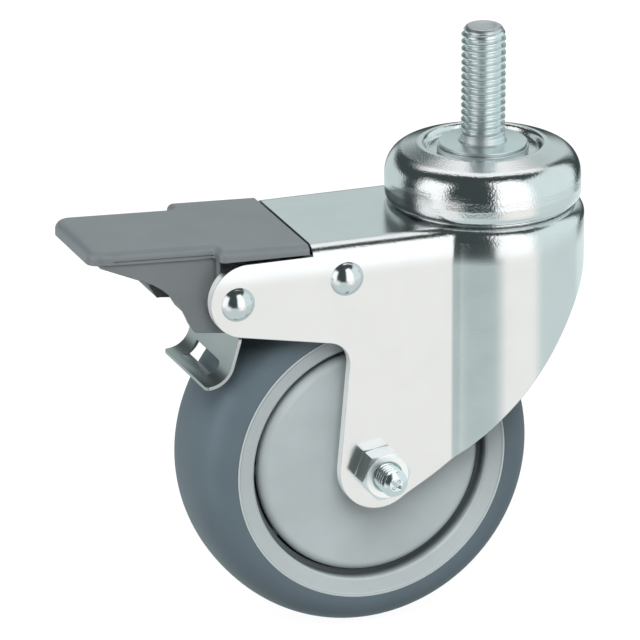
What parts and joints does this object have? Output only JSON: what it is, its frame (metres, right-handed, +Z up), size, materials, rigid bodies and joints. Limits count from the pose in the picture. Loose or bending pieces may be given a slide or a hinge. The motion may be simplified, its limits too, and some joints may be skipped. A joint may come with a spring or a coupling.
{
  "type": "swivel castor",
  "caption": "Swivel castor with a threaded stem, a soft-tread wheel, and a foot pedal that locks the wheel and the swivel together.",
  "frame": {"origin": "on the swivel axis, on the seat at the foot of the threaded stem", "axes": "+Z up along the stem; the wheel trails and the pedal points towards -X; the axle runs along Y, its nut on -Y"},
  "size_m": [0.1534, 0.0661, 0.1717],
  "materials": {
    "zinc_sheet": "bright zinc plate on pressed sheet steel",
    "zinc_turned": "bright zinc plate on turned steel",
    "zinc_sheet_brake": "duller zinc plate on hardened strip",
    "hard_steel": "hardened steel, oiled",
    "ball_steel": "polished bearing balls",
    "lever_paint": "grey stoved paint on sheet steel",
    "cam_plastic": "dark moulded nylon",
    "cover_plastic": "grey moulded plastic, finely grained",
    "tread_rubber": "blue-grey thermoplastic rubber, satin",
    "wheel_plastic": "light grey polypropylene",
    "guard_plastic": "light grey polypropylene"
  },
  "bodies": {
    "head": {"threaded_stem": "zinc_turned", "bearing_cup": "zinc_sheet", "lower_cone": "hard_steel", "swivel_lock_ring": "hard_steel"},
    "upper_ball_row": {"upper_balls": "ball_steel"},
    "lower_ball_row": {"lower_balls": "ball_steel"},
    "fork": {"fork": "zinc_sheet", "axle_bolt": "zinc_turned", "axle_nut": "zinc_turned", "axle_sleeve": "zinc_turned", "bearing_spacer": "zinc_turned", "bearing_inner_ring_near": "hard_steel", "bearing_inner_ring_far": "hard_steel", "thread_guard_near": "guard_plastic", "thread_guard_far": "guard_plastic", "pedal_rivet": "zinc_turned", "brake_rivet": "zinc_turned", "pedal_pivot_tube": "zinc_turned", "brake_pivot_tube": "zinc_turned", "pedal_washers": "zinc_turned"},
    "wheel": {"wheel_centre": "wheel_plastic", "tread": "tread_rubber", "bearing_outer_ring_near": "hard_steel", "bearing_outer_ring_far": "hard_steel"},
    "wheel_ball_rows": {"bearing_balls_near": "hard_steel", "bearing_balls_far": "hard_steel"},
    "pedal": {"pedal_lever": "lever_paint", "pedal_cam": "cam_plastic", "pedal_cover": "cover_plastic"},
    "brake": {"brake_lever": "zinc_sheet_brake"}
  },
  "joints": [
    {"name": "swivel", "type": "hinge", "parent": "head", "child": "fork", "pos_m": [0, 0, -0.0115], "axis": [0, 0, 1], "continuous": true},
    {"name": "upper_row_roll", "type": "hinge", "parent": "head", "child": "upper_ball_row", "pos_m": [0, 0, -0.0064], "axis": [0, 0, 1], "continuous": true},
    {"name": "lower_row_roll", "type": "hinge", "parent": "head", "child": "lower_ball_row", "pos_m": [0, 0, -0.0156], "axis": [0, 0, 1], "continuous": true},
    {"name": "wheel_spin", "type": "hinge", "parent": "fork", "child": "wheel", "pos_m": [-0.0403, 0, -0.0865], "axis": [0, 1, 0], "continuous": true},
    {"name": "wheel_balls_roll", "type": "hinge", "parent": "fork", "child": "wheel_ball_rows", "pos_m": [-0.0403, 0, -0.0865], "axis": [0, 1, 0], "continuous": true},
    {"name": "pedal_press", "type": "hinge", "parent": "fork", "child": "pedal", "pos_m": [-0.0828, 0, -0.0317], "axis": [0, -1, 0], "range_deg": [0, 14]},
    {"name": "brake_turn", "type": "hinge", "parent": "fork", "child": "brake", "pos_m": [-0.05015, 0, -0.028], "axis": [0, -1, 0], "range_deg": [0, 3]}
  ],
  "couplings": [
    {"joint": "upper_row_roll", "follows": "swivel", "ratio": 0.5},
    {"joint": "lower_row_roll", "follows": "swivel", "ratio": 0.5},
    {"joint": "wheel_balls_roll", "follows": "wheel_spin", "ratio": 0.619},
    {"joint": "brake_turn", "follows": "pedal_press", "ratio": 0.214}
  ]
}
